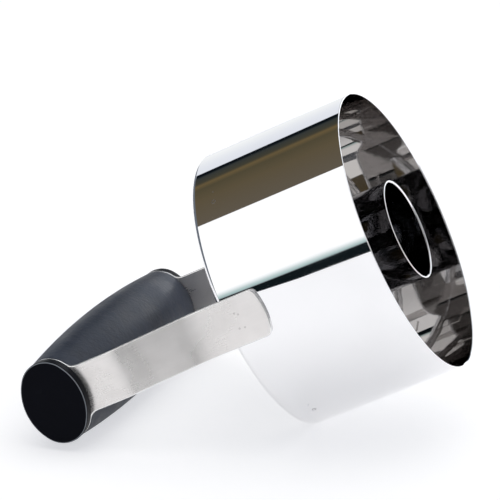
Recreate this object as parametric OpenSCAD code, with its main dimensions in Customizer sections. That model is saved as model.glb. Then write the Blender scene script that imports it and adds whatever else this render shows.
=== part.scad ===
// Doughnut and biscuit cutter with a straddling handle.
// The cutting rims stand on z = 0, +Z points to the grip and the grip lies along X.

/* [Cutter ring] */
// Outside diameter of the cutter ring
ring_d = 88.9; // [76:0.1:102]
// Sheet thickness of the cutter ring
ring_wall = 0.6; // [0.5:0.05:1]
// Depth of the ring, from its cutting edge to its rolled rear edge
ring_depth = 49.5; // [44:0.5:60]
// Outside radius of the rear edge, which is rolled inward
lip_r = 1.5; // [1.1:0.1:3]
// Thickness that the ground cutting edges keep
edge_w = 0.35; // [0.15:0.05:0.45]
// Height of the ground bevel on the cutting edges
bevel_h = 0.4; // [0.2:0.1:2]

/* [Centre ring] */
// Outside diameter of the centre ring
centre_d = 31.4; // [24:0.1:38]
// Sheet thickness of the centre ring
centre_wall = 0.6; // [0.5:0.05:1]
// Width of the flange that joins the centre ring to its carrier
flange_w = 3.2; // [2.5:0.1:5]

/* [Carrier plate] */
// Sheet thickness of the carrier plate
plate_t = 0.8; // [0.6:0.1:1.5]
// Distance from the ring's rear edge down to the plate
plate_inset = 2.3; // [1.8:0.1:6]
// Width of the plate's outer band, beyond its windows
plate_band = 4.2; // [3:0.1:8]
// Land that the plate's bridge keeps beside the centre ring's flange
bridge_land = 0.8; // [0.3:0.1:3]
// Corner radius of the two windows
window_r = 3; // [1:0.5:6]
// Diameter of the vent hole over the centre ring
vent_d = 6; // [3:0.5:12]
// Gap between the plate's edge and the ring wall
plate_gap = 0.15; // [0.05:0.05:0.5]
// Width of each welded tab
tab_w = 9; // [7:0.5:14]
// Length of each tab, from the plate's rear face
tab_len = 9; // [7:0.5:14]
// Angle from the handle's plane to the nearest tab
tab_angle = 51; // [40:1:65]

/* [Handle straps] */
// Width of each strap
strap_w = 14.8; // [12:0.1:18]
// Sheet thickness of each strap
strap_t = 1; // [0.8:0.1:1.6]
// Length of strap that lies against the ring
strap_lap = 13.7; // [11:0.1:20]
// How far each strap stands out beyond the ring at the grip
splay = 8.5; // [2:0.5:12]
// Inside radius of the two bends in each strap
bend_r = 10; // [4:1:16]
// Height above the ring's rear edge at which the strap starts to lean out
lean_start = 5; // [3:0.5:8]
// Distance below the grip's end at which the strap is upright again
lean_stop = 9.5; // [6:0.5:12]
// Radius of the strap's bowed lower end
strap_end_r = 19; // [12:1:40]
// Radius of the two corners of the lower end
strap_corner_r = 2; // [1:0.5:4]
// Radius of the fillets where the strap widens into its oval eye
eye_fillet = 4; // [2:0.5:5]

/* [Grip] */
// Height of the grip's axis above the ring's rear edge
grip_rise = 53.8; // [48:0.1:70]
// Width of the grip's oval end, across the straps
grip_end_w = 25.4; // [22:0.1:30]
// Height of the grip's oval end, along the straps
grip_end_h = 19.4; // [18:0.1:21]
// Radius of the oval's two narrow ends
oval_nose_r = 8.2; // [7:0.1:8.6]
// How much the rubber barrel swells by mid-length
barrel_swell = 2.3; // [0:0.1:4]
// Thickness of the rubber at the barrel's ends
rubber_t = 3; // [2:0.1:3.5]

/* [End caps and screws] */
// Thickness of each end cap
cap_t = 3.5; // [3:0.1:6]
// Radius of the cap's outer edge
cap_edge_r = 0.8; // [0.3:0.1:1.2]
// Diameter of the two pegs that hold each cap
peg_d = 3; // [2:0.1:3.4]
// Distance between the two pegs
peg_pitch = 13; // [12.5:0.1:13.4]
// Length that each peg reaches into the core
peg_reach = 6; // [3:0.5:10]
// Diameter of the handle screws
screw_d = 4; // [3:0.1:4.5]
// Length that each screw reaches into the core
screw_reach = 14; // [10:1:25]
// Diameter of the screw heads
head_d = 7.4; // [6:0.1:8]
// Height of the screw heads
head_h = 2.2; // [1.5:0.1:2.4]
// Length of each arm of the cross recess, end to end
recess_len = 4; // [3:0.1:5]
// Width of each arm of the cross recess
recess_w = 1; // [0.8:0.1:1.4]
// Depth of the cross recess
recess_depth = 1.2; // [0.8:0.1:1.4]

/* [Fits and welds] */
// Running fit between pegs, screws, core and what they enter
fit = 0.05; // [0.02:0.01:0.15]
// Diameter of the weld marks on the straps
strap_weld_d = 1.8; // [1:0.1:3]
// Distance between the two welds of a strap
strap_weld_pitch = 4.4; // [3:0.1:6]
// Distance from the ring's rear edge to the strap welds
strap_weld_drop = 5; // [3.5:0.1:8]
// Diameter of the weld marks on the ring, over the tabs
tab_weld_d = 1.4; // [1:0.1:3]
// Distance between the two welds of a tab
tab_weld_pitch = 3.9; // [3:0.1:6]
// Distance from the ring's rear edge to the tab welds
tab_weld_drop = 7.5; // [5:0.1:10]
// Number of welds between the centre ring's flange and the plate
flange_welds = 4; // [3:1:8]
// Diameter of the weld marks over the flange
flange_weld_d = 1.8; // [1:0.1:2.4]
// Depth of every weld mark
weld_depth = 0.12; // [0.05:0.01:0.25]

/* [Hidden] */

$fn = 96;
eps = 0.01;

ring_r = ring_d / 2;
bore_r = ring_r - ring_wall;
centre_r = centre_d / 2;
flange_r = centre_r + flange_w;

plate_top = ring_depth - plate_inset;
plate_z = plate_top - plate_t;
plate_r = bore_r - plate_gap;
window_outer_r = plate_r - plate_band;
bridge_half = flange_r + bridge_land;
tab_angles = [tab_angle, 180 - tab_angle, 180 + tab_angle, 360 - tab_angle];
tab_weld_z = ring_depth - tab_weld_drop;
strap_weld_z = ring_depth - strap_weld_drop;

// Half the grip's length: the straps lean out until they stand clear of the ring
grip_half = ring_r + splay;
grip_z = ring_depth + grip_rise;

// Oval of four tangent arcs, with a_half along Y and b_half along Z
a_half = grip_end_w / 2;
b_half = grip_end_h / 2;
nose_y = a_half - oval_nose_r;
flank_r = (pow(nose_y, 2) + pow(b_half, 2) - pow(oval_nose_r, 2)) / (2 * (b_half - oval_nose_r));
flank_z = flank_r - b_half;
fan_reach = 2 * a_half;

strap_foot_z = ring_depth - strap_lap;
lean_low_z = ring_depth + lean_start;
lean_high_z = grip_z - b_half - lean_stop;
lean_rise = lean_high_z - lean_low_z;
bend_sum = 2 * bend_r + strap_t;
lean_angle = atan2(lean_rise, bend_sum - splay)
    - acos(bend_sum / norm([lean_rise, bend_sum - splay]));
bend_steps = 16;

head_gap = 0.3;
head_rim_share = 0.4;
barrel_arc_r = (pow(grip_half, 2) + pow(barrel_swell, 2)) / (2 * max(barrel_swell, eps));
barrel_arc_fn = 1440;

steel = "silver";
satin = "lightgray";
rubber = "#3c4048";
plastic = "#15171c";

// Points of an arc about centre c, from angle a0 to a1
function arc_points(c, r, a0, a1, steps = 24) =
    [for (i = [0:steps]) let (a = a0 + (a1 - a0) * i / steps) c + r * [cos(a), sin(a)]];

// Turns a shape drawn along Z so that it lies along X, with its own X down
module along_x() {
    rotate([0, 90, 0]) children();
}

// Places a right-hand piece, or its mirror image on the left
module on_side(side) {
    mirror([side < 0 ? 1 : 0, 0, 0]) children();
}

// Section of a cutting wall with its inner face ground to a thin edge
module cutting_wall(outer_r, wall, height) {
    polygon([
        [outer_r, 0], [outer_r, height], [outer_r - wall, height],
        [outer_r - wall, bevel_h], [outer_r - edge_w, 0]
    ]);
}

// Small round dimple or hole drilled toward the axis of the ring
module radial_drill(angle, z, d, from_r, to_r) {
    rotate([0, 0, angle]) translate([from_r, 0, z]) along_x() cylinder(d = d, h = to_r - from_r, $fn = 24);
}

// Outline of the grip's end, drawn in X and Y and grown by an offset
module oval_2d(grow = 0) {
    nose = oval_nose_r + grow;
    flank = flank_r + grow;
    nose_angle = atan2(flank_z, nose_y);
    polygon(concat(
        arc_points([nose_y, 0], nose, -nose_angle, nose_angle),
        arc_points([0, -flank_z], flank, nose_angle, 180 - nose_angle),
        arc_points([-nose_y, 0], nose, 180 - nose_angle, 180 + nose_angle),
        arc_points([0, flank_z], flank, 180 + nose_angle, 360 - nose_angle)
    ));
}

// The same outline in Y and Z, as a bar from x0 to x1 at the grip's height
module oval_bar(x0, x1, grow = 0) {
    translate([x0, 0, grip_z]) rotate([90, 0, 90]) linear_extrude(x1 - x0) oval_2d(grow);
}

// Half plane on the positive side of X, so that a turned profile ends at its axis
module turned_half() {
    intersection() {
        children();
        translate([0, -2 * grip_half]) square([4 * flank_r + 4 * grip_half, 4 * grip_half]);
    }
}

// Turns a profile round the four arcs of the oval. The profile is drawn as
// offset from the outline against distance along the grip's axis.
module oval_turned() {
    for (side = [-1, 1]) {
        translate([0, side * nose_y, grip_z]) along_x() rotate_extrude() turned_half()
            translate([oval_nose_r, 0]) children();
        intersection() {
            translate([0, 0, grip_z - side * flank_z]) along_x() rotate_extrude() turned_half()
                translate([flank_r, 0]) children();
            translate([-2 * grip_half, 0, grip_z]) rotate([90, 0, 90]) linear_extrude(4 * grip_half)
                polygon([
                    [-nose_y, 0], [nose_y, 0],
                    [nose_y * (1 + fan_reach / flank_z), side * fan_reach],
                    [-nose_y * (1 + fan_reach / flank_z), side * fan_reach]
                ]);
        }
    }
}

module cutter_ring() {
    color(steel) difference() {
        rotate_extrude($fn = 180) {
            cutting_wall(ring_r, ring_wall, ring_depth - lip_r);
            translate([ring_r - lip_r, ring_depth - lip_r]) intersection() {
                difference() {
                    circle(r = lip_r);
                    circle(r = lip_r - ring_wall);
                }
                square(2 * lip_r);
            }
        }
        for (angle = tab_angles, side = [-1, 1])
            radial_drill(
                angle + side * asin(tab_weld_pitch / ring_d), tab_weld_z,
                tab_weld_d, ring_r - weld_depth, ring_r + ring_wall
            );
    }
}

module centre_ring() {
    color(steel) rotate_extrude($fn = 120) {
        cutting_wall(centre_r, centre_wall, plate_z);
        translate([centre_r - eps, plate_z - centre_wall]) square([flange_w + eps, centre_wall]);
    }
}

// One of the two windows that leave the plate's bridge between them
module window_2d() {
    corner = [
        sqrt(pow(window_outer_r - window_r, 2) - pow(bridge_half + window_r, 2)),
        bridge_half + window_r
    ];
    corner_angle = atan2(corner[1], corner[0]);
    polygon(concat(
        arc_points(corner, window_r, -90, corner_angle, 12),
        arc_points([0, 0], window_outer_r, corner_angle, 180 - corner_angle, 48),
        arc_points([-corner[0], corner[1]], window_r, 180 - corner_angle, 270, 12)
    ));
}

module carrier_plate() {
    tab_span = 2 * asin(tab_w / (2 * bore_r));
    color(steel) {
        difference() {
            translate([0, 0, plate_z]) cylinder(r = plate_r, h = plate_t, $fn = 180);
            translate([0, 0, plate_z - eps]) linear_extrude(plate_t + 2 * eps) {
                window_2d();
                mirror([0, 1]) window_2d();
            }
            translate([0, 0, plate_z - eps]) cylinder(d = vent_d, h = plate_t + 2 * eps, $fn = 48);
            for (i = [0:flange_welds - 1])
                rotate([0, 0, (i + 0.5) * 360 / flange_welds])
                    translate([centre_r + flange_w / 2, 0, plate_top - weld_depth])
                        cylinder(d = flange_weld_d, h = plate_t, $fn = 24);
        }
        for (angle = tab_angles)
            rotate([0, 0, angle - tab_span / 2]) rotate_extrude(angle = tab_span, $fn = 180)
                translate([bore_r - plate_t, plate_top - tab_len]) square([plate_t, tab_len]);
    }
}

// Points of one face of the strap, seen along Y, at a depth from its inner face
function strap_face(depth) = concat(
    [[ring_r + depth, strap_foot_z - eps]],
    [for (i = [0:bend_steps]) let (a = lean_angle * i / bend_steps, r = bend_r + strap_t - depth)
        [ring_r + strap_t + bend_r - r * cos(a), lean_low_z + r * sin(a)]],
    [for (i = [bend_steps:-1:0]) let (a = lean_angle * i / bend_steps, r = bend_r + depth)
        [grip_half - bend_r + r * cos(a), lean_high_z - r * sin(a)]],
    [[grip_half + depth, grip_z + b_half + eps]]
);

function reversed(points) = [for (i = [len(points) - 1:-1:0]) points[i]];

// Lower end of the strap: bowed, with two rounded corners
module strap_foot_2d() {
    half = strap_w / 2;
    bow = [0, strap_foot_z + strap_end_r];
    corner = [
        half - strap_corner_r,
        bow[1] - sqrt(pow(strap_end_r - strap_corner_r, 2) - pow(half - strap_corner_r, 2))
    ];
    corner_angle = atan2(corner[1] - bow[1], corner[0]);
    polygon(concat(
        [[-half, grip_z], [-half, corner[1]]],
        arc_points([-corner[0], corner[1]], strap_corner_r, 180, 180 - corner_angle, 10),
        arc_points(bow, strap_end_r, 180 - corner_angle, 360 + corner_angle, 20),
        arc_points(corner, strap_corner_r, corner_angle, 0, 10),
        [[half, grip_z]]
    ));
}

// Fillet between the strap's edge and the lower flank of its eye
module eye_fillet_2d() {
    half = strap_w / 2;
    centre = [
        half + eye_fillet,
        grip_z + flank_z - sqrt(pow(flank_r + eye_fillet, 2) - pow(half + eye_fillet, 2))
    ];
    touch_scale = flank_r / (flank_r + eye_fillet);
    touch = [
        centre[0] * touch_scale,
        grip_z + flank_z + (centre[1] - grip_z - flank_z) * touch_scale
    ];
    difference() {
        polygon([[0, grip_z], [0, centre[1]], [half, centre[1]], [centre[0], centre[1]], touch]);
        translate(centre) circle(r = eye_fillet);
    }
}

module strap(side) {
    color(satin) on_side(side) difference() {
        union() {
            intersection() {
                rotate([90, 0, 0]) linear_extrude(2 * a_half, center = true)
                    polygon(concat(strap_face(0), reversed(strap_face(strap_t))));
                rotate([90, 0, 90]) linear_extrude(2 * grip_half) {
                    strap_foot_2d();
                    eye_fillet_2d();
                    mirror([1, 0]) eye_fillet_2d();
                    translate([0, grip_z]) oval_2d();
                }
            }
            // Weld metal that bridges the flat strap and the round ring
            difference() {
                for (y = [-1, 1] * strap_weld_pitch / 2)
                    translate([ring_r - lip_r, y, strap_weld_z]) along_x()
                        cylinder(d = strap_weld_d, h = lip_r + strap_t / 2, $fn = 24);
                cylinder(r = ring_r, h = ring_depth, $fn = 180);
            }
        }
        for (y = [-1, 1] * strap_weld_pitch / 2)
            translate([ring_r + strap_t - weld_depth, y, strap_weld_z]) along_x()
                cylinder(d = strap_weld_d, h = strap_t, $fn = 24);
        translate([grip_half - eps, 0, grip_z]) along_x() cylinder(d = screw_d + 2 * fit, h = strap_t + 2 * eps);
        for (y = [-1, 1] * peg_pitch / 2)
            translate([grip_half - eps, y, grip_z]) along_x()
                cylinder(d = peg_d + 2 * fit, h = strap_t + 2 * eps);
    }
}

module left_strap() {
    strap(-1);
}

module right_strap() {
    strap(1);
}

module grip_core() {
    color(plastic) difference() {
        oval_bar(-grip_half, grip_half, -rubber_t - fit);
        for (side = [-1, 1]) on_side(side) {
            translate([grip_half - screw_reach - screw_d / 2, 0, grip_z]) along_x()
                cylinder(d = screw_d + 2 * fit, h = screw_reach + screw_d);
            for (y = [-1, 1] * peg_pitch / 2)
                translate([grip_half - peg_reach - fit, y, grip_z]) along_x()
                    cylinder(d = peg_d + 2 * fit, h = peg_reach + screw_d);
        }
    }
}

module grip_sleeve() {
    color(rubber) difference() {
        oval_turned() intersection() {
            translate([barrel_swell - barrel_arc_r, 0]) circle(r = barrel_arc_r, $fn = barrel_arc_fn);
            translate([-flank_r, -grip_half]) square([flank_r + 2 * barrel_swell + eps, 2 * grip_half]);
        }
        oval_bar(-grip_half - eps, grip_half + eps, -rubber_t);
    }
}

// Section of the screw head: a short rim under a shallow dome
module screw_head_2d() {
    rim = head_h * head_rim_share;
    rise = head_h - rim;
    dome_r = (pow(head_d / 2, 2) + pow(rise, 2)) / (2 * rise);
    square([head_d / 2, rim]);
    intersection() {
        translate([0, head_h - dome_r]) circle(r = dome_r, $fn = 240);
        translate([0, rim - eps]) square([head_d / 2, head_h]);
    }
}

// Pan-head screw that holds a strap to the core, with a cross recess
module screw(side) {
    color(steel) on_side(side) difference() {
        union() {
            translate([grip_half - screw_reach, 0, grip_z]) along_x()
                cylinder(d = screw_d, h = screw_reach + strap_t + eps);
            translate([grip_half + strap_t, 0, grip_z]) along_x() rotate_extrude() screw_head_2d();
        }
        translate([grip_half + strap_t + head_h, 0, grip_z]) {
            cube([2 * recess_depth, recess_len, recess_w], center = true);
            cube([2 * recess_depth, recess_w, recess_len], center = true);
        }
    }
}

module left_screw() {
    screw(-1);
}

module right_screw() {
    screw(1);
}

// Oval cap that hides the screw head, held by two pegs in the core
module cap(side) {
    color(plastic) on_side(side) {
        difference() {
            translate([grip_half + strap_t, 0, 0]) oval_turned() rotate(180) mirror([1, 0]) {
                translate([-flank_r, -cap_t + cap_edge_r]) square([flank_r, cap_t - cap_edge_r]);
                translate([-flank_r, -cap_t]) square([flank_r - cap_edge_r, cap_t]);
                translate([-cap_edge_r, -cap_t + cap_edge_r]) circle(r = cap_edge_r, $fn = 48);
            }
            translate([grip_half, 0, grip_z]) along_x()
                cylinder(d = head_d + 2 * head_gap, h = strap_t + head_h + head_gap);
        }
        for (y = [-1, 1] * peg_pitch / 2)
            translate([grip_half - peg_reach, y, grip_z]) along_x()
                cylinder(d = peg_d, h = peg_reach + strap_t + cap_t / 2);
    }
}

module left_cap() {
    cap(-1);
}

module right_cap() {
    cap(1);
}

cutter_ring();
centre_ring();
carrier_plate();
left_strap();
right_strap();
grip_core();
grip_sleeve();
left_screw();
right_screw();
left_cap();
right_cap();
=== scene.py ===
from math import acos, asin, atan2, cos, hypot, pi, radians, sin, sqrt, tan

import bmesh
import bpy
from mathutils import Matrix, Vector


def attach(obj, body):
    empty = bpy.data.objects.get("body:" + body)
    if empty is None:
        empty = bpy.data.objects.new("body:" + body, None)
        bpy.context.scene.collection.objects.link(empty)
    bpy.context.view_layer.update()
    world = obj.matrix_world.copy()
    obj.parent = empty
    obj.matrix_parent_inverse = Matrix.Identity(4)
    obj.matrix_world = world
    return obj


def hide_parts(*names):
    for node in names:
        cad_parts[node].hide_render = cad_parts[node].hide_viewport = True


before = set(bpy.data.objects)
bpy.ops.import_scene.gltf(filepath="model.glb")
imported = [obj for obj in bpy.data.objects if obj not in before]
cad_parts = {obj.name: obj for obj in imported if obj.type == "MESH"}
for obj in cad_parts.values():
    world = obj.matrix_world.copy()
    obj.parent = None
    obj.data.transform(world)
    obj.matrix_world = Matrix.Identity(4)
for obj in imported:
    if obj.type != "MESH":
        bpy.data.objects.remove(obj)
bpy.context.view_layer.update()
scene = bpy.context.scene

MM = 0.001

# Cutter ring, centre ring and carrier plate
RING_R = 44.45 * MM
RING_WALL = 0.6 * MM
RING_DEPTH = 49.5 * MM
LIP_R = 1.5 * MM
EDGE_W = 0.4 * MM
BEVEL_H = 0.25 * MM
CENTRE_R = 15.7 * MM
CENTRE_WALL = 0.6 * MM
FLANGE_W = 3.2 * MM
PLATE_T = 0.8 * MM
PLATE_TOP = RING_DEPTH - 2.3 * MM
PLATE_Z = PLATE_TOP - PLATE_T
PLATE_R = RING_R - RING_WALL - 0.15 * MM
PLATE_BAND = 4.2 * MM
BRIDGE_HALF = CENTRE_R + FLANGE_W + 0.8 * MM
WINDOW_R = 3 * MM
VENT_R = 3 * MM
TAB_W = 9 * MM
TAB_LEN = 9 * MM
TAB_ROOT = 3 * MM
TAB_ANGLES = [radians(a) for a in (51, 129, 231, 309)]

# Handle straps
STRAP_W = 14.8 * MM
STRAP_T = 1 * MM
STRAP_FOOT = RING_DEPTH - 13.7 * MM
SPLAY = 8.5 * MM
BEND_R = 10 * MM
STRAP_END_R = 19 * MM
STRAP_CORNER_R = 2 * MM
EYE_FILLET = 4 * MM

# Grip and caps
GRIP_HALF = RING_R + SPLAY
GRIP_Z = RING_DEPTH + 53.8 * MM
OVAL_A = 12.7 * MM
OVAL_B = 9.7 * MM
NOSE_R = 8.2 * MM
SWELL = 2.3 * MM
RUBBER_T = 3 * MM
CAP_T = 3.5 * MM
CAP_EDGE_R = 0.5 * MM
CAP_CROWN = 0.12 * MM
PEG_R = 1.5 * MM
PEG_Y = 6.5 * MM
PEG_REACH = 6 * MM

# The grip's oval: two noses on Y, joined by two wide flanks
NOSE_Y = OVAL_A - NOSE_R
FLANK_R = (NOSE_Y**2 + OVAL_B**2 - NOSE_R**2) / (2 * (OVAL_B - NOSE_R))
FLANK_Z = FLANK_R - OVAL_B
NOSE_ANGLE = atan2(FLANK_Z, NOSE_Y)

# The straps' lean between their two bends
LEAN_LOW = RING_DEPTH + 5 * MM
LEAN_HIGH = GRIP_Z - OVAL_B - 9.5 * MM
LEAN_SUM = 2 * BEND_R + STRAP_T
LEAN_ANGLE = atan2(LEAN_HIGH - LEAN_LOW, LEAN_SUM - SPLAY) - acos(
    LEAN_SUM / hypot(LEAN_HIGH - LEAN_LOW, LEAN_SUM - SPLAY)
)
HALF_TURN = tan(LEAN_ANGLE / 2)
CORNER_LOW = LEAN_LOW + (BEND_R + STRAP_T) * HALF_TURN
CORNER_HIGH = LEAN_HIGH - BEND_R * HALF_TURN
# The finished straps bend more softly about the same corners
LOW_BEND_R = 32 * MM
HIGH_BEND_R = 14 * MM
LOW_START = CORNER_LOW - LOW_BEND_R * HALF_TURN
HIGH_END = CORNER_HIGH + HIGH_BEND_R * HALF_TURN

# Roundings of the finished edges and bends
CUT_ROUND = 0.1 * MM
RIM_ROUND = 0.08 * MM
GRIND_ROUND = 0.3 * MM
LIP_OUTSIDE, LIP_INSIDE = 1.38 * MM, 0.78 * MM
FLANGE_OUTSIDE, FLANGE_INSIDE = 1.3 * MM, 0.9 * MM
TAB_OUTSIDE, TAB_INSIDE = 0.9 * MM, 0.4 * MM
PLATE_EDGE = 0.3 * MM
STRAP_EDGE = 0.42 * MM
SLEEVE_EDGE = 0.35 * MM
PEG_CHAMFER = 0.4 * MM

# Spot welds: pitch of a tab's pair, distance from the rear edge, sizes, and the dots at a
# strap's foot as (y, z) in mm
WELD_PITCH = 3.9 * MM
WELD_BACK = 7.5 * MM
RING_MARK, RING_DOT, STRAP_DOT, PLATE_MARK = 1.15 * MM, 0.5 * MM, 0.42 * MM, 1.6 * MM
STRAP_DOTS = [(1.9, 44.0), (2.5, 45.0), (-2.35, 43.7), (-2.1, 45.4)]

# The cutter lies on its side, on the rear edge of the ring and the belly of the grip
LIP_Y, LIP_Z = RING_R - LIP_R, RING_DEPTH - LIP_R
REST_Y = LIP_Y - NOSE_Y
REST_Z = GRIP_Z - LIP_Z
REST_TILT = acos((NOSE_R + SWELL - LIP_R) / hypot(REST_Y, REST_Z)) - atan2(REST_Z, REST_Y)
TABLE_UP = Vector((0, cos(REST_TILT), -sin(REST_TILT)))
TABLE_GAP = 0.02 * MM
TABLE_LEVEL = -LIP_Y * cos(REST_TILT) - LIP_Z * sin(REST_TILT) - LIP_R - TABLE_GAP


# ---------------------------------------------------------------- shader trees


class Wire:
    """A socket that joins in Python sums by adding Math nodes."""

    def __init__(self, tree, socket):
        self.tree, self.socket = tree, socket

    def math(self, operation, *values):
        return self.tree.add("ShaderNodeMath", {"operation": operation}, values)

    def __add__(self, other):
        return self.math("ADD", self, other)

    def __sub__(self, other):
        return self.math("SUBTRACT", self, other)

    def __rsub__(self, other):
        return self.math("SUBTRACT", other, self)

    def __mul__(self, other):
        return self.math("MULTIPLY", self, other)

    def __truediv__(self, other):
        return self.math("DIVIDE", self, other)

    __radd__ = __add__
    __rmul__ = __mul__


class Tree:
    """Adds nodes to one node tree, for a material, the world or a geometry modifier."""

    def __init__(self, nodes_of):
        self.nodes, self.links = nodes_of.nodes, nodes_of.links

    def add(self, kind, settings=None, values=(), out=0):
        """Adds a node: its settings first, then the values or wires of its sockets."""
        node = self.nodes.new(kind)
        for name, value in (settings or {}).items():
            if name == "stops":
                ramp = node.color_ramp
                while len(ramp.elements) < len(value):
                    ramp.elements.new(1.0)
                for element, (position, colour) in zip(ramp.elements, value):
                    element.position, element.color = position, (*colour, 1)
            else:
                setattr(node, name, value)
        pairs = values.items() if isinstance(values, dict) else enumerate(values)
        for key, value in pairs:
            socket = node.inputs[key]
            if isinstance(value, Wire):
                self.links.new(value.socket, socket)
            else:
                socket.default_value = value
        return Wire(self, node.outputs[out]) if node.outputs else node

    def mix(self, factor, first, second):
        """Mixes two colours."""
        first, second = (c if isinstance(c, Wire) else (*c, 1) for c in (first, second))
        return self.add(
            "ShaderNodeMix", {"data_type": "RGBA"}, {0: factor, 6: first, 7: second}, out=2
        )

    def smooth(self, value, low, high):
        """0 below low, 1 above high, smooth between."""
        return self.add(
            "ShaderNodeMapRange", {"interpolation_type": "SMOOTHSTEP"}, {0: value, 1: low, 2: high}
        )

    def noise(self, vector, scale, detail, roughness):
        return self.add(
            "ShaderNodeTexNoise", None,
            {"Vector": vector, "Scale": scale, "Detail": detail, "Roughness": roughness},
        )

    def stretched(self, vector, scale):
        """A vector with its own scale on each axis."""
        return self.add("ShaderNodeMapping", None, {"Vector": vector, "Scale": scale})

    def part(self, vector, axis):
        """One coordinate of a vector."""
        return self.add("ShaderNodeSeparateXYZ", None, [vector], out=axis)

    def measure(self, operation, *vectors):
        """A number from vectors, such as their LENGTH or DOT_PRODUCT."""
        return self.add("ShaderNodeVectorMath", {"operation": operation}, vectors, out="Value")

    def bump(self, height, distance, strength=1.0):
        return self.add(
            "ShaderNodeBump", None, {"Height": height, "Distance": distance, "Strength": strength}
        )

    def mix_shader(self, factor, first, second):
        return self.add("ShaderNodeMixShader", None, [factor, first, second])


# Colours of the finishes, duller or darker first. The inner walls and the centre ring are
# painted duller than the outside: painted shade, so that the interior is as dark as the real one
# looks.
STEEL_SMEARED, STEEL_CLEAN = (0.82, 0.82, 0.83), (0.87, 0.87, 0.885)
# Darker steel for the centre ring and the inner walls: painted shade of the dark interior
CENTRE_STEEL_SHADED, WALL_STEEL_SHADED = (0.50, 0.50, 0.515), (0.64, 0.627, 0.619)
SATIN_DULL, SATIN_PALE = (0.73, 0.705, 0.69), (0.93, 0.90, 0.885)
# The strap's edge roundings are painted paler: partly rubbed wear, partly a painted highlight
# along the edges
SATIN_EDGE_HIGHLIGHT = (0.97, 0.97, 0.97)
RUBBER_DARK, RUBBER_PALE = (0.012, 0.017, 0.030), (0.062, 0.075, 0.106)
BLACK_DEEP, BLACK_WORN = (0.002, 0.0025, 0.006), (0.008, 0.009, 0.013)
# The pale line on the cap's edge rounding is a painted highlight
BLACK_EDGE_HIGHLIGHT = (0.42, 0.45, 0.49)
WELD_DARK, WELD_PALE = (0.20, 0.18, 0.17), (0.38, 0.36, 0.36)


def new_material(name, constants, paint):
    """A Principled material: constants on its sockets, the rest wired by paint(tree, point)."""
    material = bpy.data.materials.new(name)
    material.use_nodes = True
    shader = material.node_tree.nodes["Principled BSDF"]
    for socket, value in constants.items():
        shader.inputs[socket].default_value = value
    tree = Tree(material.node_tree)
    point = tree.add("ShaderNodeTexCoord", out="Object")
    for socket, wire in paint(tree, point).items():
        material.node_tree.links.new(wire.socket, shader.inputs[socket])
    return material


def paint_polished(tree, point):
    """Polished sheet with faint drawn lines and soft smears, painted duller on the inner walls as
    painted shade.
    """
    radius = tree.measure("LENGTH", tree.stretched(point, (1, 1, 0)))
    height = tree.part(point, "Z")
    # Unshaded on the outside, at the cutting edges, and from the plate backwards; the inner walls
    # between carry the painted shade
    outside = tree.smooth(radius, RING_R - 0.35 * MM, RING_R - 0.15 * MM)
    walls = tree.smooth(height, 0.2 * MM, 0.6 * MM)
    walls = walls * (1 - tree.smooth(height, PLATE_Z - 0.1 * MM, PLATE_Z))
    unshaded = outside.math("MAXIMUM", outside, 1 - walls)
    smears = tree.smooth(tree.noise(point, scale=38, detail=3, roughness=0.6), 0.5, 0.78)
    drawn = tree.stretched(point, (60, 60, 2600))
    drawn = tree.noise(drawn, scale=1, detail=2, roughness=0.6)
    wave = tree.stretched(point, (1, 1, 0.05))
    wave = tree.noise(wave, scale=120, detail=2, roughness=0.5)
    # The inner walls and the centre ring get darker colours: painted shade for the dark interior
    shaded_inside = tree.mix(tree.smooth(radius, 17 * MM, 22 * MM), CENTRE_STEEL_SHADED, WALL_STEEL_SHADED)
    return {
        "Base Color": tree.mix(unshaded, shaded_inside, tree.mix(smears * 0.5, STEEL_CLEAN, STEEL_SMEARED)),
        "Roughness": 0.018 + 0.03 * smears + 0.012 * drawn,
        "Normal": tree.bump(wave + 0.02 * drawn, distance=0.03 * MM),
    }


def paint_satin(tree, point):
    """Satin sheet, brushed along the strap, with a soft cloudy bloom, and its edge roundings
    painted paler and smoother: partly rubbed wear, partly a painted highlight.
    """
    grain = tree.stretched(point, (700, 2400, 60))
    grain = tree.noise(grain, scale=1, detail=3, roughness=0.6)
    cloud = tree.smooth(tree.noise(point, scale=85, detail=2, roughness=0.5), 0.3, 0.7)
    patches = tree.stretched(point, (1, 1, 0.6))
    patches = tree.noise(patches, scale=260, detail=2, roughness=0.5)
    speck = tree.noise(point, scale=1500, detail=2, roughness=0.6)
    tone = 0.45 * cloud + 0.35 * patches + 0.2 * grain + 0.1 * speck
    # The marked roundings are painted paler and smoother: partly rubbed wear, partly a painted
    # highlight
    rubbed = tree.add("ShaderNodeAttribute", {"attribute_name": "rubbed"}, out="Fac")
    return {
        "Base Color": tree.mix(rubbed, tree.mix(tone, SATIN_DULL, SATIN_PALE), SATIN_EDGE_HIGHLIGHT),
        "Roughness": (0.24 + 0.04 * grain + 0.05 * cloud) * (1 - 0.5 * rubbed),
        "Normal": tree.bump(grain, distance=0.03 * MM, strength=0.1),
    }


def paint_rubber(tree, point):
    """Soft slate rubber: fine moulded grain with a mottled bloom."""
    bloom = tree.smooth(tree.noise(point, scale=90, detail=5, roughness=0.7), 0.35, 0.7)
    patches = tree.stretched(point, (1, 2, 2))
    patches = tree.smooth(tree.noise(patches, scale=24, detail=2, roughness=0.5), 0.3, 0.7)
    powder = tree.noise(point, scale=620, detail=3, roughness=0.7)
    grain = tree.noise(point, scale=2600, detail=2, roughness=0.5)
    relief = 0.5 * grain + 0.6 * bloom + 1.6 * powder
    tone = bloom * 0.4 + patches * 0.3 + powder * 0.3
    return {
        "Base Color": tree.mix(tone, RUBBER_DARK, RUBBER_PALE),
        "Roughness": 0.42 + 0.14 * bloom,
        "Normal": tree.bump(relief, distance=0.12 * MM, strength=0.7),
    }


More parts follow.
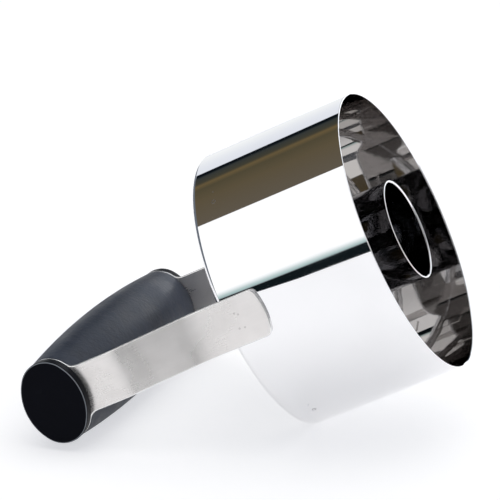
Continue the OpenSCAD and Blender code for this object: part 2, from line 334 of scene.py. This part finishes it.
def paint_black(tree, point):
    """Smooth black moulding with faint flow marks, and a pale line painted on its edge rounding as
    a highlight.
    """
    flow = tree.stretched(point, (1, 1, 2.2))
    flow = tree.noise(flow, scale=120, detail=3, roughness=0.55)
    wear = tree.smooth(tree.noise(point, scale=260, detail=3, roughness=0.7), 0.58, 0.82)
    side = tree.part(point, "X")
    reach = side.math("ABSOLUTE", side)
    # A narrow band of the edge rounding is painted pale: a painted highlight line
    top = GRIP_HALF + STRAP_T + CAP_T - CAP_CROWN
    rubbed = tree.smooth(reach, top - 0.45 * CAP_EDGE_R, top - 0.25 * CAP_EDGE_R)
    rubbed = rubbed * (1 - tree.smooth(reach, top - 0.06 * MM, top))
    colour = tree.mix(wear * 0.6 + flow * 0.2, BLACK_DEEP, BLACK_WORN)
    return {
        "Base Color": tree.mix(rubbed * (0.7 + 0.3 * flow), colour, BLACK_EDGE_HIGHLIGHT),
        "Roughness": 0.3 + 0.16 * flow + 0.14 * wear,
        "Normal": tree.bump(flow, distance=0.03 * MM, strength=0.4),
    }


def paint_weld(tree, point):
    """Heat-tinted rim of a spot weld."""
    tint = tree.noise(point, scale=1400, detail=2, roughness=0.6)
    return {
        "Base Color": tree.mix(tint, WELD_DARK, WELD_PALE),
        "Roughness": 0.35 + 0.2 * tint,
    }


POLISHED = new_material("polished steel sheet", {"Metallic": 1.0}, paint_polished)
SATIN = new_material("satin steel sheet", {"Metallic": 0.74}, paint_satin)
RUBBER = new_material("slate grip rubber", {"Specular IOR Level": 0.2}, paint_rubber)
BLACK = new_material("black cap moulding", {"Specular IOR Level": 0.05}, paint_black)
WELD = new_material("weld mark", {"Metallic": 1.0}, paint_weld)


# ---------------------------------------------------------------- shapes


def filleted(corners, steps=6, hold=0.03 * MM):
    """Closed outline from (x, y, radius) corners, each rounded by an arc.

    A point is held just outside each arc, so that the flat walls shade flat.
    """
    points = []
    for i, (x, y, r) in enumerate(corners):
        here = Vector((x, y))
        to_last = (Vector(corners[i - 1][:2]) - here).normalized()
        to_next = (Vector(corners[(i + 1) % len(corners)][:2]) - here).normalized()
        half = acos(max(-1, min(1, to_last.dot(to_next)))) / 2
        straight = abs(half - pi / 2) < 1e-4
        if r <= 0 or straight:
            points.append(here)
            continue
        centre = here + (to_last + to_next).normalized() * (r / sin(half))
        start = here + to_last * (r / tan(half)) - centre
        end = here + to_next * (r / tan(half)) - centre
        sweep = start.angle_signed(end)
        points.append(centre + start + to_last * hold)
        points += [
            centre + Matrix.Rotation(-sweep * k / steps, 2) @ start for k in range(steps + 1)
        ]
        points.append(centre + end + to_next * hold)
    return points


def arc(centre, radius, start, end, steps):
    return [
        (centre[0] + radius * cos(start + (end - start) * k / steps),
         centre[1] + radius * sin(start + (end - start) * k / steps))
        for k in range(steps + 1)
    ]


def circle(radius, height, steps):
    """A closed loop of points about Z."""
    turns = [2 * pi * k / steps for k in range(steps)]
    return [(radius * cos(turn), radius * sin(turn), height) for turn in turns]


def linked(name, data):
    """A new object of the scene, at the origin."""
    piece = bpy.data.objects.new(name, data)
    scene.collection.objects.link(piece)
    return piece


def plain_mesh(piece):
    """A mesh of an object as its modifiers or its curve leave it."""
    return bpy.data.meshes.new_from_object(
        piece.evaluated_get(bpy.context.evaluated_depsgraph_get())
    )


def finished(name, bm, material, sharp=35):
    """Closes a bmesh into an object at the origin, smooth but for its sharp edges.

    Its normals are weighted by face area, so that flat faces shade flat up to their rounding.
    """
    bmesh.ops.remove_doubles(bm, verts=bm.verts, dist=1e-7)
    bmesh.ops.recalc_face_normals(bm, faces=bm.faces)
    mesh = bpy.data.meshes.new(name)
    bm.to_mesh(mesh)
    bm.free()
    mesh.shade_smooth()
    mesh.set_sharp_from_angle(angle=radians(sharp))
    mesh.materials.append(material)
    piece = linked(name, mesh)
    weighting = piece.modifiers.new("weighting", "WEIGHTED_NORMAL")
    weighting.weight, weighting.keep_sharp = 90, True
    weighted = plain_mesh(piece)
    piece.modifiers.clear()
    piece.data = weighted
    weighted.name = name
    bpy.data.meshes.remove(mesh)
    return piece


def skin(bm, rows, ring=False):
    """Joins closed loops of points by quads, in a ring or with a face over either end."""
    loops = [[bm.verts.new(point) for point in row] for row in rows]
    pairs = zip(loops, loops[1:] + loops[:1]) if ring else zip(loops, loops[1:])
    for low, high in pairs:
        for i in range(len(low)):
            j = (i + 1) % len(low)
            bm.faces.new((low[i], low[j], high[j], high[i]))
    if not ring:
        bm.faces.new(loops[0])
        bm.faces.new(loops[-1])


def turned(name, profile, material, steps=360):
    """A ring turned from a closed (radius, height) profile."""
    bm = bmesh.new()
    skin(bm, [circle(radius, height, steps) for radius, height in profile], ring=True)
    return finished(name, bm, material)


def plate_mesh(outlines, thickness, bevel, name):
    """A flat bmesh plate from closed outlines, its edges rounded, standing on z = 0."""
    curve = bpy.data.curves.new(name, "CURVE")
    curve.dimensions, curve.fill_mode = "2D", "BOTH"
    curve.extrude, curve.bevel_depth = thickness / 2 - bevel, bevel
    curve.bevel_resolution, curve.offset = 2, -bevel
    for outline in outlines:
        spline = curve.splines.new("POLY")
        spline.points.add(len(outline) - 1)
        for point, (x, y) in zip(spline.points, outline):
            point.co = (x, y, 0, 1)
        spline.use_cyclic_u = True
    holder = linked(name, curve)
    mesh = plain_mesh(holder)
    bpy.data.objects.remove(holder)
    bm = bmesh.new()
    bm.from_mesh(mesh)
    bpy.data.meshes.remove(mesh)
    bmesh.ops.translate(bm, verts=bm.verts, vec=(0, 0, thickness / 2))
    return bm


# ---------------------------------------------------------------- rings and plate

ring_profile = filleted([
    (RING_R, 0, CUT_ROUND),
    (RING_R, RING_DEPTH, LIP_OUTSIDE),
    (RING_R - LIP_R, RING_DEPTH, CUT_ROUND),
    (RING_R - LIP_R, RING_DEPTH - RING_WALL, CUT_ROUND),
    (RING_R - RING_WALL, RING_DEPTH - RING_WALL, LIP_INSIDE),
    (RING_R - RING_WALL, BEVEL_H, GRIND_ROUND),
    (RING_R - EDGE_W, 0, RIM_ROUND),
])
cutter_ring = turned("cutter_ring_sheet", ring_profile, POLISHED)

centre_profile = filleted([
    (CENTRE_R, 0, CUT_ROUND),
    (CENTRE_R, PLATE_Z - CENTRE_WALL, FLANGE_INSIDE),
    (CENTRE_R + FLANGE_W, PLATE_Z - CENTRE_WALL, CUT_ROUND),
    (CENTRE_R + FLANGE_W, PLATE_Z, CUT_ROUND),
    (CENTRE_R - CENTRE_WALL, PLATE_Z, FLANGE_OUTSIDE),
    (CENTRE_R - CENTRE_WALL, BEVEL_H, GRIND_ROUND),
    (CENTRE_R - EDGE_W, 0, RIM_ROUND),
])
centre_ring = turned("centre_ring_sheet", centre_profile, POLISHED, steps=240)


def window_outline(side):
    """One window of the plate: an arc along the band and a straight side on the bridge."""
    reach = PLATE_R - PLATE_BAND
    corner_y = BRIDGE_HALF + WINDOW_R
    corner_x = sqrt((reach - WINDOW_R) ** 2 - corner_y**2)
    angle = atan2(corner_y, corner_x)
    points = arc((corner_x, corner_y), WINDOW_R, -pi / 2, angle, 10)
    points += arc((0, 0), reach, angle, pi - angle, 60)[1:-1]
    points += arc((-corner_x, corner_y), WINDOW_R, pi - angle, 3 * pi / 2, 10)
    return [(x, side * y) for x, y in points]


def carrier():
    """The plate's disc, with its two windows and the vent."""
    rim = arc((0, 0), PLATE_R, 0, 2 * pi, 240)[:-1]
    vent = arc((0, 0), VENT_R, 0, 2 * pi, 48)[:-1]
    outlines = [rim, vent, window_outline(1), window_outline(-1)]
    bm = plate_mesh(outlines, PLATE_T, PLATE_EDGE, "plate")
    bmesh.ops.translate(bm, verts=bm.verts, vec=(0, 0, PLATE_Z))
    return finished("carrier_plate_disc", bm, POLISHED, sharp=50)


carrier_plate = carrier()


# ---------------------------------------------------------------- straps


def strap_path(z):
    """Inner face of the right strap at a height: its x and its lean."""
    if z <= LOW_START:
        return RING_R, 0.0
    if z < LOW_START + LOW_BEND_R * sin(LEAN_ANGLE):
        angle = asin((z - LOW_START) / LOW_BEND_R)
        return RING_R + LOW_BEND_R * (1 - cos(angle)), angle
    if z <= HIGH_END - HIGH_BEND_R * sin(LEAN_ANGLE):
        return RING_R + (z - CORNER_LOW) * tan(LEAN_ANGLE), LEAN_ANGLE
    if z < HIGH_END:
        angle = asin((HIGH_END - z) / HIGH_BEND_R)
        return GRIP_HALF - HIGH_BEND_R * (1 - cos(angle)), angle
    return GRIP_HALF, 0.0


def strap_outline():
    """Outline in (y, z): bowed foot, straight sides, fillets and the oval eye."""
    half = STRAP_W / 2
    bow = (0, STRAP_FOOT + STRAP_END_R)
    corner_y = half - STRAP_CORNER_R
    corner_z = bow[1] - sqrt((STRAP_END_R - STRAP_CORNER_R) ** 2 - corner_y**2)
    turn = atan2(corner_z - bow[1], corner_y)
    side = arc(bow, STRAP_END_R, -pi / 2, turn, 14)
    side += arc((corner_y, corner_z), STRAP_CORNER_R, turn, 0, 8)[1:]
    flank = (0, GRIP_Z + FLANK_Z)
    fillet_y = half + EYE_FILLET
    fillet_z = flank[1] - sqrt((FLANK_R + EYE_FILLET) ** 2 - fillet_y**2)
    meet = atan2(fillet_z - flank[1], fillet_y)
    side += arc((fillet_y, fillet_z), EYE_FILLET, pi, pi + meet, 10)
    side += arc(flank, FLANK_R, meet, -NOSE_ANGLE, 10)[1:]
    side += arc((NOSE_Y, GRIP_Z), NOSE_R, -NOSE_ANGLE, NOSE_ANGLE, 26)[1:]
    side += arc((0, GRIP_Z - FLANK_Z), FLANK_R, NOSE_ANGLE, pi / 2, 14)[1:]
    return side + [(-y, z) for y, z in reversed(side[1:-1])]


def strap(name, side):
    """A strap cut flat, with its roundings marked for a paler edge (rubbed wear and a painted
    highlight), and then bent to its path.
    """
    bm = plate_mesh([strap_outline()], STRAP_T, STRAP_EDGE, name)
    low, high = 18, 14
    cuts = [LOW_START + LOW_BEND_R * sin(LEAN_ANGLE * k / low) for k in range(low + 1)]
    cuts += [HIGH_END - HIGH_BEND_R * sin(LEAN_ANGLE * k / high) for k in range(high + 1)]
    for cut in cuts:
        whole = bm.verts[:] + bm.edges[:] + bm.faces[:]
        bmesh.ops.bisect_plane(bm, geom=whole, plane_co=(0, cut, 0), plane_no=(0, 1, 0))
    # Roundings are marked for the satin's paler edge: partly rubbed wear, partly a painted
    # highlight
    rubbed = bm.verts.layers.float.new("rubbed")
    on_face = 0.02 * MM
    for vert in bm.verts:
        y, z, depth = vert.co
        vert[rubbed] = float(on_face < depth < STRAP_T - on_face)
        x, lean = strap_path(z)
        vert.co = (side * (x + depth * cos(lean)), y, z - depth * sin(lean))
    return finished(name, bm, SATIN, sharp=50)


straps = {"left": strap("left_strap_sheet", -1), "right": strap("right_strap_sheet", 1)}


# ---------------------------------------------------------------- grip and caps


def oval(x, grow=0.0, scale=1.0):
    """The grip's oval end as a loop of points at x."""
    loop = arc((NOSE_Y, 0), NOSE_R + grow, -NOSE_ANGLE, NOSE_ANGLE, 28)[:-1]
    loop += arc((0, -FLANK_Z), FLANK_R + grow, NOSE_ANGLE, pi - NOSE_ANGLE, 28)[:-1]
    loop += arc((-NOSE_Y, 0), NOSE_R + grow, pi - NOSE_ANGLE, pi + NOSE_ANGLE, 28)[:-1]
    loop += arc((0, FLANK_Z), FLANK_R + grow, pi + NOSE_ANGLE, 2 * pi - NOSE_ANGLE, 28)[:-1]
    return [(x, y * scale, GRIP_Z + z * scale) for y, z in loop]


def sleeve():
    """The rubber barrel: rounded ends, a swell along an arc, and the bore that holds the core."""
    radius = (GRIP_HALF**2 + SWELL**2) / (2 * SWELL)
    inner = GRIP_HALF - SLEEVE_EDGE
    ends = [
        (-GRIP_HALF + SLEEVE_EDGE * (1 - cos(a)), -SLEEVE_EDGE * (1 - sin(a)))
        for a in (0, pi / 8, pi / 4, 3 * pi / 8)
    ]
    stations = ends + [(-inner + 2 * inner * k / 72, 0.0) for k in range(73)]
    stations += [(-x, inset) for x, inset in reversed(ends)]
    rows = [oval(-GRIP_HALF, -RUBBER_T)]
    rows += [
        oval(x, SWELL - radius + sqrt(radius**2 - x**2) + inset) for x, inset in stations
    ]
    rows.append(oval(GRIP_HALF, -RUBBER_T))
    bm = bmesh.new()
    skin(bm, rows, ring=True)
    return finished("grip_sleeve_rubber", bm, RUBBER, sharp=50)


grip_sleeve = sleeve()


def cap(name, side):
    """Oval cap: rounded edge, faintly crowned face and the two pegs behind it."""
    base = GRIP_HALF + STRAP_T
    top = base + CAP_T
    edge = top - CAP_CROWN
    # The loops start and end short of the middle, and a face closes each end
    middle, edge_steps, crown_steps = 0.02, 8, 9
    rows = [oval(side * base, 0, middle), oval(side * base)]
    for k in range(edge_steps + 1):
        angle = pi / 2 * k / edge_steps
        rows.append(
            oval(side * (edge - CAP_EDGE_R * (1 - sin(angle))), -CAP_EDGE_R * (1 - cos(angle)))
        )
    for k in range(1, crown_steps + 1):
        scale = 1 - k / (crown_steps + 0.2)
        rows.append(oval(side * (top - CAP_CROWN * scale**2), -CAP_EDGE_R, scale))
    bm = bmesh.new()
    skin(bm, rows)
    tip = base - STRAP_T - PEG_REACH
    peg_profile = [
        (base + 0.1 * MM, PEG_R), (tip + PEG_CHAMFER, PEG_R), (tip, PEG_R - PEG_CHAMFER),
    ]
    for peg in (-PEG_Y, PEG_Y):
        skin(bm, [
            [(side * x, peg + y, GRIP_Z + z) for y, z, _ in circle(radius, 0, 24)]
            for x, radius in peg_profile
        ])
    return finished(name, bm, BLACK, sharp=40)


caps = {"left": cap("left_cap_moulding", -1), "right": cap("right_cap_moulding", 1)}


# ---------------------------------------------------------------- welds and tabs


def repeated(name, spots, source, material, size):
    """Copies a source mesh, drawn about +Z, onto spots given as (place, facing)."""
    cloud = bpy.data.meshes.new(name)
    cloud.from_pydata([place for place, _ in spots], [], [])
    facing = cloud.attributes.new("facing", "FLOAT_VECTOR", "POINT")
    facing.data.foreach_set("vector", [c for _, way in spots for c in way])
    piece = linked(name, cloud)

    group = bpy.data.node_groups.new(name + " layout", "GeometryNodeTree")
    inputs = {
        socket: group.interface.new_socket(
            socket, in_out="INPUT", socket_type="NodeSocket" + kind
        ).identifier
        for socket, kind in (
            ("Spots", "Geometry"), ("Piece", "Object"), ("Size", "Float"), ("Finish", "Material"),
        )
    }
    group.interface.new_socket("Pieces", in_out="OUTPUT", socket_type="NodeSocketGeometry")
    tree = Tree(group)
    given = {socket: tree.add("NodeGroupInput", out=socket) for socket in inputs}
    shape = tree.add("GeometryNodeObjectInfo", None, {"Object": given["Piece"]}, out="Geometry")
    way = tree.add(
        "GeometryNodeInputNamedAttribute", {"data_type": "FLOAT_VECTOR"}, {"Name": "facing"}
    )
    turn = tree.add("FunctionNodeAlignRotationToVector", {"axis": "Z"}, {"Vector": way})
    placed = tree.add(
        "GeometryNodeInstanceOnPoints", None,
        {"Points": given["Spots"], "Instance": shape, "Rotation": turn, "Scale": given["Size"]},
    )
    solid = tree.add("GeometryNodeRealizeInstances", None, {"Geometry": placed})
    done = tree.add(
        "GeometryNodeSetMaterial", None, {"Geometry": solid, "Material": given["Finish"]}
    )
    tree.add("NodeGroupOutput", None, {"Pieces": done})

    layout = piece.modifiers.new("layout", "NODES")
    layout.node_group = group
    layout[inputs["Piece"]] = source
    layout[inputs["Size"]] = size
    layout[inputs["Finish"]] = material
    bpy.context.view_layer.update()
    mesh = plain_mesh(piece)
    piece.modifiers.clear()
    piece.data = mesh
    mesh.shade_smooth()
    mesh.set_sharp_from_angle(angle=radians(35))
    return piece


def weld_ring():
    """Low bead round a spot weld, 1 unit across, drawn about +Z."""
    bm = bmesh.new()
    mid, half_width, half_height, steps = 0.5, 0.09, 0.035, 8
    turns = [2 * pi * k / steps for k in range(steps)]
    section = [(mid + half_width * cos(turn), half_height * sin(turn)) for turn in turns]
    skin(bm, [circle(radius, height, 24) for radius, height in section], ring=True)
    return finished("weld_bead", bm, WELD)


def tab():
    """One welded tab of the plate, bent forward along the ring wall, drawn at angle 0.

    It stands just off the wall and its root is sunk a little way into the plate, so that no
    two faces lie in one plane.
    """
    sink = 0.03 * MM
    outer = RING_R - RING_WALL - 0.02 * MM
    inner = outer - PLATE_T
    root, tip = outer - TAB_ROOT, PLATE_TOP - TAB_LEN
    top, under = PLATE_TOP - sink, PLATE_Z + sink
    section = filleted([
        (outer, tip, CUT_ROUND), (outer, top, TAB_OUTSIDE), (root, top, 0),
        (root, under, 0), (inner, under, TAB_INSIDE), (inner, tip, CUT_ROUND),
    ])
    half = asin(TAB_W / (2 * outer))
    turns = [-half + 2 * half * k / 14 for k in range(15)]
    bm = bmesh.new()
    skin(bm, [[(r * cos(turn), r * sin(turn), z) for r, z in section] for turn in turns])
    return finished("plate_tab", bm, POLISHED)


def round_spot(angle):
    """A spot on the ring's outside, where a tab is welded behind it."""
    way = Vector((cos(angle), sin(angle), 0))
    return Vector((0, 0, RING_DEPTH - WELD_BACK)) + way * RING_R, way


bead = weld_ring()
weld_step = asin(WELD_PITCH / (2 * RING_R))
ring_spots = [round_spot(angle + side * weld_step) for angle in TAB_ANGLES for side in (-1, 1)]
strap_spots = [
    ((side * (RING_R + STRAP_T), y * MM, z * MM), (side, 0, 0))
    for side in (-1, 1) for y, z in STRAP_DOTS
]
flange_mid = CENTRE_R + FLANGE_W / 2
plate_spots = [
    ((flange_mid * cos(a), flange_mid * sin(a), PLATE_TOP), (0, 0, 1))
    for a in (pi / 4, 3 * pi / 4, 5 * pi / 4, 7 * pi / 4)
]
ring_welds = repeated("ring_weld_marks", ring_spots[::2], bead, WELD, RING_MARK)
ring_dots = repeated("ring_weld_dots", ring_spots[1::2], bead, WELD, RING_DOT)
strap_welds = repeated("strap_weld_dots", strap_spots, bead, WELD, STRAP_DOT)
plate_welds = repeated("plate_weld_marks", plate_spots, bead, WELD, PLATE_MARK)
bpy.data.objects.remove(bead)

tab_piece = tab()
bm = bmesh.new()
for angle in TAB_ANGLES:
    bm.from_mesh(tab_piece.data)
    fresh = bm.verts[-len(tab_piece.data.vertices):]
    bmesh.ops.rotate(bm, verts=fresh, cent=(0, 0, 0), matrix=Matrix.Rotation(angle, 3, "Z"))
bpy.data.objects.remove(tab_piece)
tabs = finished("carrier_plate_tabs", bm, POLISHED)

# The core and the screws stay as the solids that they are, with a finish
for node, material in (("grip_core", BLACK), ("left_screw", SATIN), ("right_screw", SATIN)):
    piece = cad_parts[node]
    piece.data.materials.clear()
    piece.data.materials.append(material)


# ---------------------------------------------------------------- riding and replacing

for piece, slot, nodes in (
    (cutter_ring, "polished_steel", ["cutter_ring"]),
    (centre_ring, "polished_steel", ["centre_ring"]),
    (carrier_plate, "polished_steel", ["carrier_plate"]),
    (tabs, "polished_steel", []),
    (straps["left"], "satin_steel", ["left_strap"]),
    (straps["right"], "satin_steel", ["right_strap"]),
    (grip_sleeve, "grip_rubber", ["grip_sleeve"]),
    (caps["left"], "cap_plastic", ["left_cap"]),
    (caps["right"], "cap_plastic", ["right_cap"]),
    (ring_welds, "polished_steel", []),
    (ring_dots, "polished_steel", []),
    (strap_welds, "satin_steel", []),
    (plate_welds, "satin_steel", []),
):
    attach(piece, "root")
    if nodes:
        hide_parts(*nodes)


# ---------------------------------------------------------------- table

# Corners, in metres along X and from the ring's foot towards the grip
TABLE_CORNERS = [
    (-1.6, -1.4), (0.60, -1.4), (0.70, -0.22), (0.70, 0.22),
    (0.98, 0.37), (1.6, 0.7), (1.6, 1.4), (-1.6, 1.4),
]
PAPER_DARK, PAPER_PALE = (0.80, 0.80, 0.81), (0.83, 0.83, 0.84)
SHADE_COLOUR = (0.55, 0.545, 0.53, 1)
GLOW_COLOUR, GLOW_STRENGTH = (0.985, 0.995, 1.035, 1), 0.62
SHEEN_STRENGTH = 0.46


def white_paper():
    """Matte paper, clear from below.

    The camera sees it as a grey that keeps the cutter's shadow, with a glow of its own. The
    steel mirrors the plain paper with a weaker glow, which makes it about white there.
    """
    paper = bpy.data.materials.new("white paper table")
    paper.use_nodes = True
    paper.node_tree.nodes.clear()
    tree = Tree(paper.node_tree)
    point = tree.add("ShaderNodeTexCoord", out="Object")
    fibre = tree.noise(point, scale=900, detail=2, roughness=0.5)
    plain = tree.add(
        "ShaderNodeBsdfDiffuse", None, {"Color": tree.mix(fibre, PAPER_DARK, PAPER_PALE)}
    )
    shade = tree.add("ShaderNodeBsdfDiffuse", None, {"Color": SHADE_COLOUR})
    glow = tree.add(
        "ShaderNodeEmission", None, {"Color": GLOW_COLOUR, "Strength": GLOW_STRENGTH}
    )
    sheen = tree.add("ShaderNodeEmission", None, {"Strength": SHEEN_STRENGTH})
    seen = tree.add("ShaderNodeAddShader", None, [shade, glow])
    mirrored = tree.add("ShaderNodeAddShader", None, [plain, sheen])
    shown = tree.mix_shader(
        tree.add("ShaderNodeLightPath", out="Is Glossy Ray"), plain, mirrored
    )
    shown = tree.mix_shader(tree.add("ShaderNodeLightPath", out="Is Camera Ray"), shown, seen)
    from_below = tree.add("ShaderNodeNewGeometry", out="Backfacing")
    clear = tree.add("ShaderNodeBsdfTransparent")
    tree.add(
        "ShaderNodeOutputMaterial", None,
        {"Surface": tree.mix_shader(from_below, shown, clear)},
    )
    return paper


def paper_table():
    """The flat table under the lying cutter."""
    way_x = Vector((1, 0, 0))
    way_z = way_x.cross(TABLE_UP)
    ring_foot = Vector((0, -RING_R, RING_DEPTH)).dot(way_z)
    bm = bmesh.new()
    face = bm.faces.new([
        bm.verts.new(TABLE_UP * TABLE_LEVEL + way_x * x + way_z * (ring_foot + along))
        for x, along in TABLE_CORNERS
    ])
    bm.normal_update()
    if face.normal.dot(TABLE_UP) < 0:
        bmesh.ops.reverse_faces(bm, faces=[face])
    mesh = bpy.data.meshes.new("table")
    bm.to_mesh(mesh)
    bm.free()
    mesh.materials.append(white_paper())
    return linked("table", mesh)


paper_table()


# ---------------------------------------------------------------- world

# Bands of the mirrored room, as turns in degrees from +X up over the table
GAP_FOOT, GAP_TOP = -14, 1.7
WINDOW_TOP, CEILING_TOP = 69.4, 143.6
WINDOW_FADE, BACKDROP_FADE = (1.2, 7.5), (146, 176)
BAND_BLUR, GAP_BLUR = 0.4, 0.5
GAP_COLOUR = (0.006, 0.010, 0.012)
WINDOW_FOOT, WINDOW_COLOUR = (0.36, 0.52, 0.51), (1.2, 1.2, 1.2)
BACKDROP_HIGH, BACKDROP_LOW = (0.84, 0.87, 0.93), (0.96, 0.98, 0.985)
CEILING = [
    (0.0, (0.124, 0.104, 0.076)), (0.45, (0.116, 0.091, 0.052)),
    (0.66, (0.088, 0.073, 0.041)), (0.74, (0.145, 0.104, 0.048)),
    (0.79, (0.058, 0.054, 0.037)), (0.90, (0.038, 0.043, 0.040)),
    (0.94, (0.004, 0.007, 0.010)), (1.0, (0.003, 0.005, 0.008)),
]
# Walls and cards of the room: before the open end, behind the grip, and on the far side.
# A pair named ALONG or ACROSS is the ray's share of Z or X over which one fades in or out.
FRONT_FAR, FRONT_NEAR = (0.95, 0.97, 1.0), (0.05, 0.05, 0.055)
FRONT_ALONG, FRONT_ACROSS = (-0.45, 0.05), (-0.35, 0.35)
LOW_FRONT_COLOUR = (1.0, 1.0, 1.0)
LOW_FRONT_ALONG, LOW_FRONT_ACROSS = (-0.42, -0.55), (0.5, 0.75)
REAR_COLOUR = (0.15, 0.17, 0.20)
REAR_ALONG = (0.38, 0.46)
CARD_COLOUR = (0.03, 0.04, 0.055)
CARD_ALONG, CARD_ACROSS = (0.20, 0.28), (-0.4, -0.2)
LAMP_COLOUR = (2.8, 2.85, 2.95)
LAMP_ACROSS = (-0.985, -0.94)
# The dome that lights matte surfaces, brighter round the key's direction
KEY_WAY = Vector((-0.20, 0.85, -0.45)).normalized()
KEY_FADE = (0.5, 1.0)
DOME_FILL, DOME_KEY = (0.15, 0.16, 0.18), (1.6, 1.6, 1.6)


def mirrored_room(tree, ray):
    """What the steel and the grip mirror in each direction."""
    up = tree.measure("DOT_PRODUCT", ray, TABLE_UP)
    across, along = tree.part(ray, "X"), tree.part(ray, "Z")
    turn = across.math("ARCTAN2", up, across) * (180 / pi)

    def band(start, end, blur):
        """1 between two turns."""
        rise = tree.smooth(turn, start - blur, start + blur)
        return rise - tree.smooth(turn, end - blur, end + blur)

    ceiling = tree.add(
        "ShaderNodeValToRGB", {"stops": CEILING},
        [(turn - WINDOW_TOP) / (CEILING_TOP - WINDOW_TOP)],
    )
    window = tree.mix(tree.smooth(turn, *WINDOW_FADE), WINDOW_FOOT, WINDOW_COLOUR)
    backdrop = tree.mix(tree.smooth(turn, *BACKDROP_FADE), BACKDROP_HIGH, BACKDROP_LOW)
    room = tree.mix(band(WINDOW_TOP, CEILING_TOP, BAND_BLUR), backdrop, ceiling)
    room = tree.mix(band(GAP_TOP, WINDOW_TOP, BAND_BLUR), room, window)
    room = tree.mix(band(GAP_FOOT, GAP_TOP, GAP_BLUR), room, GAP_COLOUR)
    front = tree.mix(tree.smooth(across, *FRONT_ACROSS), FRONT_FAR, FRONT_NEAR)
    room = tree.mix(tree.smooth(along, *FRONT_ALONG), front, room)
    # From the camera it is mostly the grip that mirrors the far side's dark card and lamp
    card = 1 - tree.smooth(along.math("ABSOLUTE", along), *CARD_ALONG)
    card = card * (1 - tree.smooth(across, *CARD_ACROSS))
    room = tree.mix(card, room, CARD_COLOUR)
    room = tree.mix(1 - tree.smooth(across, *LAMP_ACROSS), room, LAMP_COLOUR)
    room = tree.mix(tree.smooth(along, *REAR_ALONG), room, REAR_COLOUR)
    low_front = tree.smooth(along, *LOW_FRONT_ALONG) * tree.smooth(across, *LOW_FRONT_ACROSS)
    return tree.mix(low_front, room, LOW_FRONT_COLOUR)


def studio():
    """Plain white for the camera, the room for mirrors, and the dome for matte surfaces."""
    world = bpy.data.worlds.new("studio")
    world.use_nodes = True
    world.node_tree.nodes.clear()
    tree = Tree(world.node_tree)
    ray = tree.add("ShaderNodeTexCoord", out="Generated")
    key = tree.measure("DOT_PRODUCT", ray, KEY_WAY)
    dome = tree.mix(tree.smooth(key, *KEY_FADE), DOME_FILL, DOME_KEY)
    glossy_ray = tree.add("ShaderNodeLightPath", out="Is Glossy Ray")
    camera_ray = tree.add("ShaderNodeLightPath", out="Is Camera Ray")
    unseen = tree.mix(glossy_ray, dome, mirrored_room(tree, ray))
    background = tree.add(
        "ShaderNodeBackground", None, {"Color": tree.mix(camera_ray, unseen, (1, 1, 1))}
    )
    tree.add("ShaderNodeOutputWorld", None, {"Surface": background})
    return world


scene.world = studio()


# ---------------------------------------------------------------- camera

IMAGE_WIDTH = 500
FOCAL_PIXELS = 2297.4
SENSOR_WIDTH = 36
CAMERA_PLACE = (0.66019, 0.08668, -0.18678)
FORWARD = Vector((-0.936732, -0.105027, 0.33392))
UPWARD = Vector((-0.231348, 0.901644, -0.3654))

camera = linked("camera", bpy.data.cameras.new("camera"))
camera.data.sensor_width = SENSOR_WIDTH
camera.data.lens = FOCAL_PIXELS * SENSOR_WIDTH / IMAGE_WIDTH
camera.data.clip_start, camera.data.clip_end = 0.05, 20
axes = Matrix((FORWARD.cross(UPWARD), UPWARD, -FORWARD)).transposed()
camera.matrix_world = Matrix.Translation(CAMERA_PLACE) @ axes.to_4x4()
scene.camera = camera
scene.view_settings.view_transform = "Standard"
# Light crosses the rings many times between their mirror walls
scene.cycles.glossy_bounces = 12
